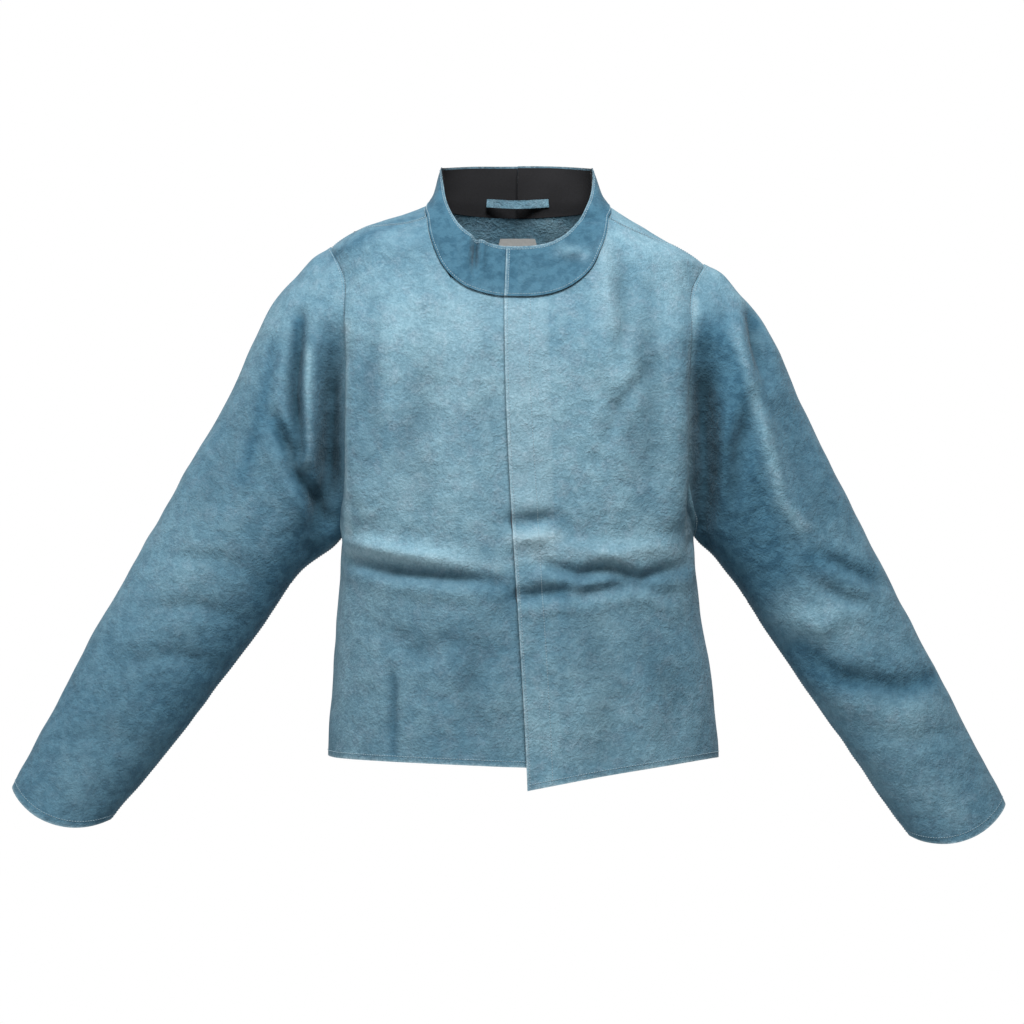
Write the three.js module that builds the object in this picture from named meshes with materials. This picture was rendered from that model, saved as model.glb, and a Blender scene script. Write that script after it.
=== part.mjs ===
// A leather welding jacket, laid out as it hangs on a body with the arms a little away from the sides.
// Millimetres, +Z up, +X towards the wearer's left, the front faces -Y. The origin is the middle of the
// neck opening, level with the points where the shoulder seams meet the collar.
// Every panel is one closed sheet of leather: a box whose two large faces are bent over a smooth surface.
import * as THREE from "three";
import { mergeVertices } from "three/addons/utils/BufferGeometryUtils.js";

// Driving dimensions of the body.
const BODY_LENGTH = 672;
const NECK_HALF_WIDTH = 108;
const SHOULDER_HALF_WIDTH = 227;
const SHOULDER_DROP = 62;
const CHEST_HALF_WIDTH = 212;
const HEM_HALF_WIDTH = 235;
const CHEST_FRONT = 121;
const CHEST_BACK = 118;
const HEM_FRONT = 114;
const HEM_BACK = 112;
const NECK_FRONT = 62;
const NECK_BACK = 66;
const NECK_FRONT_DROP = 115;
const NECK_BACK_DROP = 12;
const HEM_DROP_LEFT = 38;
const HEM_DROP_RIGHT = 8;

// Armholes and sleeves. Each sleeve runs from the armhole to the cuff in the XZ plane.
const ARMHOLE_HEIGHT = 340;
const ARMHOLE_HALF_DEPTH = 74;
const SLEEVE_OUT = 326;
const SLEEVE_DOWN = 508;
const UPPER_SLEEVE_WIDTH = 183;
const ELBOW_WIDTH = 166;
const CUFF_WIDTH = 126;
const UPPER_SLEEVE_DEPTH = 128;
const ELBOW_DEPTH = 110;
const CUFF_DEPTH = 90;
const CUFF_FRONT_CURVE = 23;
const CUFF_BACK_CURVE = 8;

// Collar: a stand that leans in towards the neck.
const COLLAR_TOP_HALF_WIDTH = 92;
const COLLAR_TOP_FRONT = 82;
const COLLAR_TOP_BACK = 60;
const COLLAR_FRONT_HEIGHT = 59;
const COLLAR_SIDE_HEIGHT = 45;
const COLLAR_BACK_HEIGHT = 64;

// Front closing: the left front laps over the right one, tape on tape.
const LEFT_EDGE_AT_NECK = -16;
const LEFT_EDGE_AT_HEM = 13;
const UNDERLAP = 45;
const FACING_SHARE = 0.72;
const TAPE_BOTTOM_SHARE = 0.08;

// Materials and the spaces between them.
const LEATHER = 1.3;
const LINING = 0.8;
const TAPE = 1.2;
const LAYER_GAP = 0.3;
const SEAM_GAP = 0.6;
const LABEL = 0.5;
const LOOP = 1.2;
const LOOP_STAND = 9;
const LOOP_REACH = 0.2;
const LABEL_REACH = 0.12;
const LAP_CLEAR = 6;
const LAP_RAMP = 38;

// The front folds open on a line that leans out towards the hem; the sleeves bend at the elbow.
const FRONT_AXIS_TOP = new THREE.Vector3(80, -75, -60);
const FRONT_AXIS_BOTTOM_OUT = 42;
const FRONT_AXIS_BOTTOM_FORWARD = 43;
const FOLD_START = -30;
const FOLD_END = 15;
const CAP_END = 0.37;
const ELBOW_START = 0.47;
const ELBOW_END = 0.67;

const QUARTER = Math.PI / 2;
const smooth = (t) => THREE.MathUtils.smoothstep(t, 0, 1);
const mix = THREE.MathUtils.lerp;

// A curve through [place, value] stations that never overshoots them.
function profile(stations) {
  const slopes = stations.map((_, i) => {
    const slope = (k) => (stations[k + 1][1] - stations[k][1]) / (stations[k + 1][0] - stations[k][0]);
    const before = slope(Math.max(0, i - 1));
    const after = slope(Math.min(stations.length - 2, i));
    return before * after <= 0 ? 0 : (2 * before * after) / (before + after);
  });
  return (place) => {
    let i = 0;
    while (i < stations.length - 2 && place > stations[i + 1][0]) i++;
    const [p0, v0] = stations[i];
    const [p1, v1] = stations[i + 1];
    const length = p1 - p0;
    const t = THREE.MathUtils.clamp((place - p0) / length, 0, 1);
    const rise = v0 * (1 + 2 * t) * (1 - t) ** 2 + v1 * t * t * (3 - 2 * t);
    return rise + length * (slopes[i] * t * (1 - t) ** 2 - slopes[i + 1] * t * t * (1 - t));
  };
}

// Finds where a function that changes sign once between low and high is zero.
function solve(low, high, f) {
  const rising = f(high) > f(low);
  for (let step = 0; step < 40; step++) {
    const middle = (low + high) / 2;
    if (f(middle) > 0 === rising) high = middle;
    else low = middle;
  }
  return (low + high) / 2;
}

// ---- The torso surface: level rings, each a rounded rectangle, given by an angle and a height. ----
const UNDERARM = SHOULDER_DROP + ARMHOLE_HEIGHT;
const CHEST = UNDERARM / 2;
const halfWidth = profile([
  [0, NECK_HALF_WIDTH],
  [SHOULDER_DROP / 2, (NECK_HALF_WIDTH + SHOULDER_HALF_WIDTH) / 2 + 3],
  [SHOULDER_DROP, SHOULDER_HALF_WIDTH],
  [CHEST, (SHOULDER_HALF_WIDTH + CHEST_HALF_WIDTH) / 2],
  [UNDERARM, CHEST_HALF_WIDTH],
  [BODY_LENGTH, HEM_HALF_WIDTH],
  [BODY_LENGTH * 1.2, HEM_HALF_WIDTH],
]);
const frontDepth = profile([
  [0, NECK_FRONT],
  [SHOULDER_DROP, (NECK_FRONT + CHEST_FRONT) / 2],
  [CHEST, CHEST_FRONT],
  [UNDERARM, CHEST_FRONT],
  [BODY_LENGTH, HEM_FRONT],
  [BODY_LENGTH * 1.2, HEM_FRONT],
]);
const backDepth = profile([
  [0, NECK_BACK],
  [SHOULDER_DROP, (NECK_BACK + CHEST_BACK) / 2],
  [CHEST, CHEST_BACK],
  [UNDERARM, CHEST_BACK],
  [BODY_LENGTH, HEM_BACK],
  [BODY_LENGTH * 1.2, HEM_BACK],
]);
const squareness = profile([
  [0, 2.1],
  [SHOULDER_DROP, 2.5],
  [CHEST, 3.1],
  [UNDERARM, 3],
  [BODY_LENGTH, 2.5],
  [BODY_LENGTH * 1.2, 2.5],
]);

function rounded(angle, power) {
  const c = Math.cos(angle);
  const s = Math.sin(angle);
  const k = (Math.abs(c) ** power + Math.abs(s) ** power) ** (-1 / power);
  return [k * c, k * s];
}

// angle 0 is the left side, negative angles run over the front, positive ones over the back.
function torsoPoint(angle, z) {
  const [across, along] = rounded(angle, squareness(-z));
  const depth = along < 0 ? frontDepth(-z) : backDepth(-z);
  return new THREE.Vector3(across * halfWidth(-z), along * depth, z);
}

function angleOfShare(share, power) {
  const rest = Math.max(0, 1 - share ** power) ** (1 / power);
  return [Math.atan2(rest, share), Math.atan2(share, rest)];
}

function frontAngleAtX(x, z) {
  const share = Math.min(1, Math.abs(x) / halfWidth(-z));
  const angle = angleOfShare(share, squareness(-z))[0];
  return x < 0 ? angle - Math.PI : -angle;
}

function angleAtY(y, z) {
  const share = Math.min(1, Math.abs(y) / (y < 0 ? frontDepth(-z) : backDepth(-z)));
  return Math.sign(y) * angleOfShare(share, squareness(-z))[1];
}

// The neckline: 0 at the middle of the front, 1 on the shoulder, 2 at the middle of the back.
const SEAM_AT_NECK = 0.9;
function neckline(place) {
  if (place > 1) {
    const angle = (place - 1) * QUARTER;
    return [angle, -NECK_BACK_DROP * Math.sin(angle) ** 2];
  }
  const [down, across] = rounded(Math.min(place, SEAM_AT_NECK) * QUARTER, 2.5);
  const z = -NECK_FRONT_DROP * down;
  const angle = frontAngleAtX(NECK_HALF_WIDTH * across, z);
  const round = Math.max(0, (place - SEAM_AT_NECK) / (1 - SEAM_AT_NECK));
  return [angle * (1 - round), z * (1 - round) ** 2];
}

// The armhole on the torso surface: 0 at the shoulder, negative over the front, pi under the arm.
const ARMHOLE_CENTRE = -SHOULDER_DROP - ARMHOLE_HEIGHT / 2;
function armhole(angle, inset) {
  const [up, along] = rounded(angle, 2.5);
  const z = ARMHOLE_CENTRE + up * (ARMHOLE_HEIGHT / 2 - inset);
  return [angleAtY(along * (ARMHOLE_HALF_DEPTH - inset), z), z];
}

// ---- Panels of the torso: a patch between four borders, each a list or a function of [angle, height]. ----
const BAND_SIDE_SHARE = 0.14;
const ROWS_BELOW = 5;
const ROWS_ARMHOLE = 8;
const REAR_SEAM_ROW = 5;
const ROWS_SHOULDER = 3;

// One side border from the hem up the side seam, round the armhole and along the shoulder seam.
function sideBorder(hem, over) {
  const gap = ((over ? 1 : -1) * SEAM_GAP) / 2 / CHEST_HALF_WIDTH;
  const border = [];
  for (let i = 0; i < ROWS_BELOW; i++) border.push([gap, mix(hem, -UNDERARM, i / ROWS_BELOW)]);
  for (let i = 0; i <= ROWS_ARMHOLE; i++) {
    const [angle, z] = armhole((over ? 1 : -1) * Math.PI * (1 - i / ROWS_ARMHOLE), 0);
    border.push([i === 0 || i === ROWS_ARMHOLE ? gap : angle, z]);
  }
  const end = neckline(SEAM_AT_NECK);
  for (let i = 1; i <= ROWS_SHOULDER; i++) {
    const share = i / ROWS_SHOULDER;
    border.push([mix(0, end[0], smooth(share)) + 2 * gap, mix(-SHOULDER_DROP, end[1], share)]);
  }
  return border;
}

// Blends four borders over u and v from 0 to 1; left and right are functions of v, bottom and top of u.
function patch({ left, right, bottom, top }) {
  const [bottomEnds, topEnds] = [bottom, top].map((border) => [border(0), border(1)]);
  return (u, v) => {
    const [l, r, b, t] = [left(v), right(v), bottom(u), top(u)];
    return [0, 1].map((i) => {
      const low = b[i] - mix(bottomEnds[0][i], bottomEnds[1][i], u);
      return mix(l[i], r[i], u) + mix(low, t[i] - mix(topEnds[0][i], topEnds[1][i], u), v);
    });
  };
}

const listed = (border) => (v) => {
  const place = THREE.MathUtils.clamp(v, 0, 1) * (border.length - 1);
  const i = Math.min(Math.floor(place), border.length - 2);
  return [0, 1].map((k) => mix(border[i][k], border[i + 1][k], place - i));
};

function even(count, from = 0, to = 1) {
  return Array.from({ length: count + 1 }, (_, i) => mix(from, to, i / count));
}

// ---- A closed sheet: a box bent over a surface, between two distances from it. The surface is a function
// of two coordinates whose directions turn outwards, and place gives those two for u and v. ----
function sheet([surface, place], us, vs, [from, thickness], mirrored) {
  const box = new THREE.BoxGeometry(1, 1, 1, us.length - 1, vs.length - 1, 1);
  box.deleteAttribute("normal");
  box.deleteAttribute("uv");
  const merged = mergeVertices(box);
  const corner = merged.getAttribute("position");
  const step = 1e-4;
  for (let i = 0; i < corner.count; i++) {
    const u = us[Math.round((corner.getX(i) + 0.5) * (us.length - 1))];
    const v = vs[Math.round((corner.getY(i) + 0.5) * (vs.length - 1))];
    const [a, b] = place(u, v);
    const alongA = surface(a + step, b).sub(surface(a - step, b));
    const alongB = surface(a, b + step).sub(surface(a, b - step));
    const out = alongA.cross(alongB).normalize();
    const depth = (typeof from === "function" ? from(u) : from) + (corner.getZ(i) > 0 ? 0 : thickness);
    const point = surface(a, b).addScaledVector(out, -depth);
    corner.setXYZ(i, mirrored ? -point.x : point.x, point.y, point.z);
  }
  if (mirrored) {
    const order = merged.index.array;
    for (let i = 0; i < order.length; i += 3) [order[i], order[i + 1]] = [order[i + 1], order[i]];
  }
  return merged;
}

const jacket = new THREE.Group();
const FINISH = {
  leather: { color: 0x7c9cad, roughness: 0.85 },
  lining: { color: 0x16181c, roughness: 0.9 },
  tape: { color: 0x202226, roughness: 0.95 },
  label: { color: 0xd8d8d2, roughness: 0.8 },
};
function add(name, finish, geometry) {
  const mesh = new THREE.Mesh(geometry, new THREE.MeshStandardMaterial({ ...FINISH[finish], metalness: 0 }));
  mesh.name = name;
  jacket.add(mesh);
}

const FACING_FROM = LEATHER + LAYER_GAP;
const LINING_FROM = LEATHER + 3 * LAYER_GAP;
const TAPE_FROM = FACING_FROM + LEATHER + LAYER_GAP;
const UNDER_SINK = TAPE_FROM + 2 * TAPE + 4 * LAYER_GAP;

// ---- Fronts. In left-hand coordinates; the right front is mirrored. ----
const frontAxis = (z) => {
  const share = (FRONT_AXIS_TOP.z - z) / (FRONT_AXIS_TOP.z + BODY_LENGTH);
  return [
    FRONT_AXIS_TOP.x + share * FRONT_AXIS_BOTTOM_OUT,
    FRONT_AXIS_TOP.y - share * FRONT_AXIS_BOTTOM_FORWARD,
  ];
};

// Distance of a point past the fold line, across the front's swing; positive towards the opening.
function pastFold(point) {
  const [x, y] = frontAxis(point.z);
  return (x - point.x + y - point.y) / Math.SQRT2;
}

// ---- The sleeve surface: 0 to 1 from the armhole to the cuff, at the armhole's own angles. ----
const SLEEVE_LENGTH = Math.hypot(SLEEVE_OUT, SLEEVE_DOWN);
const ELBOW = (ELBOW_START + ELBOW_END) / 2;
const bySleeve = (...values) => profile([0, 0.1, CAP_END, ELBOW, 1].map((place, i) => [place, values[i]]));
const RING_HEIGHT = ARMHOLE_HEIGHT - 2 * SEAM_GAP;
// The named widths lie flat; a filled arm rounds the section, so they are eased where it is widest.
const UPPER_EASE = 1.16;
const ELBOW_EASE = 1.03;
const sleeveWidth = bySleeve(
  RING_HEIGHT,
  RING_HEIGHT * 0.95,
  UPPER_SLEEVE_WIDTH * UPPER_EASE,
  ELBOW_WIDTH * ELBOW_EASE,
  CUFF_WIDTH,
);
const RING_DEPTH = 2 * (ARMHOLE_HALF_DEPTH - SEAM_GAP);
const sleeveDepth = bySleeve(RING_DEPTH, RING_DEPTH * 0.97, UPPER_SLEEVE_DEPTH, ELBOW_DEPTH, CUFF_DEPTH);
const sleeveTurn = bySleeve(0, 0.14, 0.475, 0.82, 1.24);
const sleeveSquareness = bySleeve(2.5, 2.4, 2.2, 2.1, 2.1);
const sleeveOut = bySleeve(0, 0.085, 0.295, 0.505, 1);
const sleeveDown = bySleeve(0, 0.04, 0.258, 0.487, 1);
const middleHalfWidth = (SHOULDER_HALF_WIDTH + CHEST_HALF_WIDTH) / 2;

const REAR_SEAM = (Math.PI * REAR_SEAM_ROW) / ROWS_ARMHOLE;

function sleevePoint(place, angle) {
  const [up, along] = rounded(angle, sleeveSquareness(place));
  const turn = sleeveTurn(place);
  const across = new THREE.Vector3(Math.sin(turn), 0, Math.cos(turn));
  const hand = new THREE.Vector3(Math.cos(turn), 0, -Math.sin(turn));
  const point = new THREE.Vector3(
    middleHalfWidth + SLEEVE_OUT * sleeveOut(place),
    (along * sleeveDepth(place)) / 2,
    ARMHOLE_CENTRE - SLEEVE_DOWN * sleeveDown(place),
  );
  point.addScaledVector(across, (up * sleeveWidth(place)) / 2);
  const root = torsoPoint(...armhole(angle, SEAM_GAP));
  point.x += (root.x - middleHalfWidth) * (1 - smooth(place / 0.25));
  const curve = along < 0 ? CUFF_FRONT_CURVE : CUFF_BACK_CURVE;
  return point.addScaledVector(hand, curve * along ** 2 * smooth((place - ELBOW_END) / (1 - ELBOW_END)));
}

// ---- The collar surface: the neckline's own places, and 0 to 1 from the neckline to the top edge. ----
function collarBand(place, share) {
  const low = torsoPoint(...neckline(place));
  low.x *= 1 - SEAM_GAP / NECK_HALF_WIDTH;
  low.y *= 1 - SEAM_GAP / NECK_BACK;
  low.z += SEAM_GAP;
  const isBack = low.y > 0;
  const reach = isBack ? backDepth(NECK_BACK_DROP) : frontDepth(NECK_FRONT_DROP);
  const [across, along] = rounded(Math.atan2(low.y / reach, low.x / NECK_HALF_WIDTH), 2.6);
  const ahead = Math.abs(along);
  const backTop = COLLAR_BACK_HEIGHT - NECK_BACK_DROP;
  const frontTop = COLLAR_FRONT_HEIGHT - NECK_FRONT_DROP;
  const high = new THREE.Vector3(
    COLLAR_TOP_HALF_WIDTH * across,
    along * (isBack ? COLLAR_TOP_BACK : COLLAR_TOP_FRONT),
    mix(COLLAR_SIDE_HEIGHT, isBack ? backTop : frontTop, ahead ** (isBack ? 2 : 1.2)),
  );
  return low.lerp(high, share);
}

const sides = [
  { name: "left", mirrored: false, drop: HEM_DROP_LEFT },
  { name: "right", mirrored: true, drop: HEM_DROP_RIGHT },
];
for (const side of sides) {
  const hem = (angle) => {
    const x = torsoPoint(angle, -BODY_LENGTH).x;
    return -BODY_LENGTH - side.drop * Math.max(0, 1 - x / HEM_HALF_WIDTH) ** 1.3;
  };
  const leftEdge = (z) => mix(LEFT_EDGE_AT_NECK, LEFT_EDGE_AT_HEM, smooth(-z / BODY_LENGTH - 0.2));
  // The right front runs on under the left one, so its edge lies past the left one by the underlap.
  const edge = (z) => (side.mirrored ? -leftEdge(z) - UNDERLAP : leftEdge(z));
  // Borders that run down the front, each from a place on the hem to a place on the neckline.
  const down = (angleAt, onNeck) => {
    const low = solve(-BODY_LENGTH * 1.15, -BODY_LENGTH * 0.9, (z) => z - hem(angleAt(z)));
    return (v) => {
      const z = mix(low, onNeck[1], v);
      return [angleAt(z), z];
    };
  };
  const foldAngle = (past) => (z) => solve(-QUARTER, -0.02, (angle) => pastFold(torsoPoint(angle, z)) - past);
  const foldOnNeck = (past) => solve(0.1, 0.999, (place) => pastFold(torsoPoint(...neckline(place))) - past);
  const edgeOnNeck = solve(-0.6, 0.6, (place) => {
    const [angle, z] = neckline(place);
    return torsoPoint(angle, z).x - edge(z);
  });
  const gap = SEAM_GAP / 2;
  const cuts = [
    { place: edgeOnNeck, angle: (z) => frontAngleAtX(edge(z), z) },
    { place: foldOnNeck(FOLD_END + gap), angle: foldAngle(FOLD_END + gap) },
    { place: foldOnNeck(FOLD_END - gap), angle: foldAngle(FOLD_END - gap) },
    { place: foldOnNeck(FOLD_START + gap), angle: foldAngle(FOLD_START + gap) },
    { place: foldOnNeck(FOLD_START - gap), angle: foldAngle(FOLD_START - gap) },
  ];
  const border = (cut) => down(cut.angle, neckline(cut.place));
  const bottom = (left, right) => (u) => {
    const angle = mix(left(0)[0], right(0)[0], u);
    return [angle, hem(angle)];
  };
  const top = (from, to) => (u) => neckline(mix(from, to, u));
  // The right front and its half of the collar sink under the left ones near the opening.
  const lapped = (surface) => (a, b) => {
    const point = surface(a, b);
    const clear = (point.x + leftEdge(point.z) - LAP_CLEAR) / LAP_RAMP;
    if (side.mirrored) point.y += UNDER_SINK * (1 - smooth(clear));
    return point;
  };
  const torso = lapped(torsoPoint);
  const panel = (from, to) => {
    const [left, right] = [border(from), border(to)];
    return patch({ left, right, bottom: bottom(left, right), top: top(from.place, to.place) });
  };
  // Columns are shared with the collar, so that both follow the neckline on the same points.
  const columns = { opening: even(6), fold: even(2), side: even(4) };
  const rows = even(12);
  const front = side.name + "_front_";
  const leather = [0, LEATHER];
  const opening = [torso, panel(cuts[0], cuts[1])];
  add(front + "opening_panel", "leather", sheet(opening, columns.opening, rows, leather, side.mirrored));
  const fold = [torso, panel(cuts[2], cuts[3])];
  add(front + "fold_strip", "leather", sheet(fold, columns.fold, rows, leather, side.mirrored));
  const seam = listed(sideBorder(hem(0), false));
  // Rows of the side panel climb the fold line at the rate at which they climb the armhole.
  const climbed = (v) => (seam(v)[1] - seam(0)[1]) / (seam(1)[1] - seam(0)[1]);
  const foldBorder = border(cuts[4]);
  const inner = (v) => foldBorder(climbed(v));
  const sidePatch = patch({
    left: inner,
    right: seam,
    bottom: bottom(inner, seam),
    top: top(cuts[4].place, SEAM_AT_NECK),
  });
  const sideRows = even(ROWS_BELOW + ROWS_ARMHOLE + ROWS_SHOULDER);
  const sidePanel = sheet([torso, sidePatch], columns.side, sideRows, leather, side.mirrored);
  add(front + "side_panel", "leather", sidePanel);

  const facingColumns = columns.opening.filter((u) => u < FACING_SHARE);
  const facing = [FACING_FROM, LEATHER];
  add(front + "facing", "leather", sheet(opening, facingColumns, rows, facing, side.mirrored));
  const tapeColumns = columns.opening.slice(0, 3);
  const tapeRows = rows.filter((v) => v > TAPE_BOTTOM_SHARE);
  const tapeFrom = side.mirrored ? -TAPE - LAYER_GAP : TAPE_FROM;
  const tapeName = side.mirrored ? "hook_tape" : "loop_tape";
  add(front + tapeName, "tape", sheet(opening, tapeColumns, tapeRows, [tapeFrom, TAPE], side.mirrored));

  // ---- Collar: an outer leather and a dark lining on one leaning band, cut where the front folds. ----
  const band = lapped(collarBand);
  const bandFold = (past) => {
    const places = [0, 0.5, 1].map((share) =>
      solve(0.05, 0.999, (place) => pastFold(collarBand(place, share)) - past),
    );
    return profile(places.map((place, i) => [i / 2, place]));
  };
  const bandPlace = (from, to) => (u, v) => [mix(from(v), to(v), u), v];
  const bandRows = even(4);
  const foldOpens = [bandFold(FOLD_END + gap), bandFold(FOLD_END - gap)];
  const foldCloses = [bandFold(FOLD_START + gap), bandFold(FOLD_START - gap)];
  const backColumns = [...even(5, 0, BAND_SIDE_SHARE), ...even(6, BAND_SIDE_SHARE, 1).slice(1)];
  const backMiddle = 2 - gap / NECK_BACK;
  const bands = [
    ["front", columns.opening, bandPlace(() => edgeOnNeck, foldOpens[0])],
    ["fold_strip", columns.fold, bandPlace(foldOpens[1], foldCloses[0])],
    ["back", backColumns, bandPlace(foldCloses[1], () => backMiddle)],
  ];
  const collar = side.name + "_collar_";
  for (const [name, bandColumns, place] of bands) {
    add(collar + name, "leather", sheet([band, place], bandColumns, bandRows, leather, side.mirrored));
    const lining = sheet([band, place], bandColumns, bandRows, [LINING_FROM, LINING], side.mirrored);
    add(collar + "lining_" + name, "lining", lining);
  }
  const collarTapeFrom = side.mirrored ? tapeFrom : LINING_FROM + LINING + LAYER_GAP;
  const collarTape = [collarTapeFrom, TAPE];
  const collarTapeRows = bandRows.slice(1, 4);
  const frontBand = [band, bands[0][2]];
  add(collar + tapeName, "tape", sheet(frontBand, tapeColumns, collarTapeRows, collarTape, side.mirrored));

  // ---- Sleeve: sections that turn from the armhole's plane to lie across the arm. ----
  for (const [panelName, from, to, count] of [
    ["top", -Math.PI, REAR_SEAM, ROWS_ARMHOLE + REAR_SEAM_ROW],
    ["under", REAR_SEAM, Math.PI, ROWS_ARMHOLE - REAR_SEAM_ROW],
  ]) {
    const seamShare = SEAM_GAP / ARMHOLE_HALF_DEPTH;
    for (const [zone, low, high, steps] of [
      ["cap", 0, CAP_END, 5],
      ["upper", CAP_END, ELBOW_START, 2],
      ["elbow", ELBOW_START, ELBOW_END, 4],
      ["forearm", ELBOW_END, 1, 4],
    ]) {
      const start = low + (low > 0 ? SEAM_GAP / 2 / SLEEVE_LENGTH : 0);
      const end = high - (high < 1 ? SEAM_GAP / 2 / SLEEVE_LENGTH : 0);
      const place = (u, v) => [mix(start, end, u), mix(from + seamShare / 2, to - seamShare / 2, v)];
      const name = side.name + "_sleeve_" + panelName + "_" + zone;
      add(name, "leather", sheet([sleevePoint, place], even(steps), even(count), leather, side.mirrored));
    }
  }
}

// ---- Back: one panel from side seam to side seam, brought over the shoulders. ----
const backSide = listed(sideBorder(-BODY_LENGTH, true));
const opposite = (border) => (v) => {
  const [angle, z] = border(v);
  return [Math.PI - angle, z];
};
const backPatch = patch({
  left: backSide,
  right: opposite(backSide),
  bottom: (u) => [mix(backSide(0)[0], Math.PI - backSide(0)[0], u), -BODY_LENGTH],
  top: (u) => {
    const place = mix(SEAM_AT_NECK, 4 - SEAM_AT_NECK, u);
    return place <= 2 ? neckline(place) : opposite(neckline)(4 - place);
  },
});
const backRows = even(ROWS_BELOW + ROWS_ARMHOLE + ROWS_SHOULDER);
add("back_panel", "leather", sheet([torsoPoint, backPatch], even(18), backRows, [0, LEATHER], false));

// ---- Small pieces inside the back of the neck. ----
const acrossBack = (place, share) => {
  const point = collarBand(place > 2 ? 4 - place : place, share);
  if (place > 2) point.x *= -1;
  return point;
};
const loopPlace = (u, v) => [2 + mix(-LOOP_REACH, LOOP_REACH, u), mix(0.2, 0.36, v)];
const insideCollar = LINING_FROM + LINING + 2 * LAYER_GAP;
const loopFrom = (u) => insideCollar + LOOP_STAND * Math.sin(Math.PI * u) ** 2;
add("hanger_loop", "leather", sheet([acrossBack, loopPlace], even(8), [0, 1], [loopFrom, LOOP], false));
const labelPlace = (u, v) => [QUARTER + mix(-LABEL_REACH, LABEL_REACH, u), mix(-70, -35, v)];
const labelFrom = LEATHER + 2 * LAYER_GAP;
add("size_label", "label", sheet([torsoPoint, labelPlace], even(2), even(1), [labelFrom, LABEL], false));
export default jacket;
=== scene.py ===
import bpy
import numpy as np
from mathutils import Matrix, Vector, noise


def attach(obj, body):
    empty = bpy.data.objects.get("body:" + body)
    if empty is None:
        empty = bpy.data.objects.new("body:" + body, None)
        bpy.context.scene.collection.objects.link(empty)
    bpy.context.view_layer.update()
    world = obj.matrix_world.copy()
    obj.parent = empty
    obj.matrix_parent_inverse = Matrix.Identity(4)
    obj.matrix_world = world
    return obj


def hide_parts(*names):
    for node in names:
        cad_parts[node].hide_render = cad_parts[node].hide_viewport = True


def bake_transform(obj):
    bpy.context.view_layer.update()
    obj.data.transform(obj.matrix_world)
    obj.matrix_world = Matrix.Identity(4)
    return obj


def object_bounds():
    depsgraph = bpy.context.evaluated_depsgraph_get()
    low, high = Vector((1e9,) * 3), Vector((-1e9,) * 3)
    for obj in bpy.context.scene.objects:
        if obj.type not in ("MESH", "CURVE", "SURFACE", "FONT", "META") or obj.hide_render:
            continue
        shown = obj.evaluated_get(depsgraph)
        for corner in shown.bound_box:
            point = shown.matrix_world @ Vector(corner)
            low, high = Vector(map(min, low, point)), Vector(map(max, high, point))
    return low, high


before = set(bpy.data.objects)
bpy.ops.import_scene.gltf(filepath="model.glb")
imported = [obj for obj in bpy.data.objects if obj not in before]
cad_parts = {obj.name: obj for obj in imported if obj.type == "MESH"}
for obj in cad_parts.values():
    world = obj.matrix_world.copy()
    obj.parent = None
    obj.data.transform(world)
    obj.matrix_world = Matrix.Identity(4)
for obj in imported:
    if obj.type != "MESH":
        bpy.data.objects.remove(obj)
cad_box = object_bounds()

# Camera and studio. The jacket hangs in front of a white room, seen square from the front.
# A broad light stands above and in front of it, and the room is dimmer everywhere but behind the jacket.
VIEW_CENTRE = (-0.007, -0.375)
VIEW_DISTANCE = 5.0
VIEW_WIDTH = 1.2492
SENSOR = 36.0
lens = SENSOR * VIEW_DISTANCE / VIEW_WIDTH
camera_place = (VIEW_CENTRE[0], -VIEW_DISTANCE, VIEW_CENTRE[1])
bpy.ops.object.camera_add(location=camera_place, rotation=(np.pi / 2, 0, 0))
camera = bpy.context.object
camera.data.lens = lens
camera.data.sensor_width = SENSOR
bpy.context.scene.camera = camera
bpy.context.scene.view_settings.view_transform = "Standard"

world = bpy.data.worlds.new("white_room")
bpy.context.scene.world = world
world.use_nodes = True
sky = world.node_tree
sky_place = sky.nodes.new("ShaderNodeTexCoord")
sky_split = sky.nodes.new("ShaderNodeSeparateXYZ")
sky.links.new(sky_place.outputs["Generated"], sky_split.inputs[0])
sky_behind = sky.nodes.new("ShaderNodeMapRange")
sky_behind.inputs["From Min"].default_value = 0.55
sky_behind.inputs["From Max"].default_value = 0.85
sky_behind.inputs["To Min"].default_value = 0.21
sky.links.new(sky_split.outputs["Y"], sky_behind.inputs["Value"])
sky.links.new(sky_behind.outputs[0], sky.nodes["Background"].inputs["Strength"])
sky.nodes["Background"].inputs["Color"].default_value = (1, 1, 1, 1)

for name, place, turn, size, power in [
    ("key_light", (0.2, -1.6, 1.9), (0.70, 0, 0.13), 0.9, 98),
    ("side_light", (-2.4, -1.5, 0.5), (1.2, 0, -1.0), 1.0, 27),
]:
    bpy.ops.object.light_add(type="AREA", location=place, rotation=turn)
    light = bpy.context.object
    light.name = name
    light.data.size = size
    light.data.energy = power

bpy.ops.mesh.primitive_plane_add(size=2.2, location=(0, 0, cad_box[0][2] - 0.5))
floor = bpy.context.object
floor.name = "floor"
floor_look = bpy.data.materials.new("floor_white")
floor_look.use_nodes = True
floor_shader = floor_look.node_tree.nodes["Principled BSDF"]
floor_shader.inputs["Base Color"].default_value = (0.50, 0.50, 0.50, 1)
floor_shader.inputs["Roughness"].default_value = 0.8
floor.data.materials.append(floor_look)
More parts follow.
